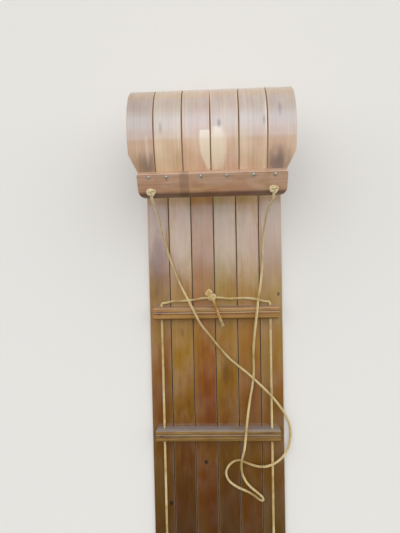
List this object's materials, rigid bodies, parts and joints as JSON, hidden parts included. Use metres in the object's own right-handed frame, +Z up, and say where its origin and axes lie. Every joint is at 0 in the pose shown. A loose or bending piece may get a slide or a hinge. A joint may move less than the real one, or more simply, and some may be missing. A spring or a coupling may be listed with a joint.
{
  "type": "toboggan",
  "caption": "Flat wooden toboggan of bent slats with a curled front, a headboard, grooved crossbars, rope grab lines and a towing rope.",
  "frame": {"origin": "on the floor under the middle of the toboggan's length and deck width, measured without the towing rope", "axes": "+X forwards towards the curl, +Y to the left of travel, +Z up from the running surface"},
  "size_m": [1.83, 0.418, 0.283],
  "materials": {
    "deck_wood": "aged gloss varnish on steam-bent hardwood",
    "bar_wood": "aged varnish on moulded hardwood",
    "rope": "laid straw-coloured rope, weathered"
  },
  "bodies": {
    "root": {"slat_1": "deck_wood", "slat_2": "deck_wood", "slat_3": "deck_wood", "slat_4": "deck_wood", "slat_5": "deck_wood", "slat_6": "deck_wood", "headboard": "bar_wood", "crossbar_1": "bar_wood", "crossbar_2": "bar_wood", "crossbar_3": "bar_wood", "crossbar_4": "bar_wood", "side_rope": "rope", "side_rope_knot": "rope", "tow_rope": "rope", "tow_knot_left": "rope", "tow_knot_right": "rope"}
  },
  "joints": []
}
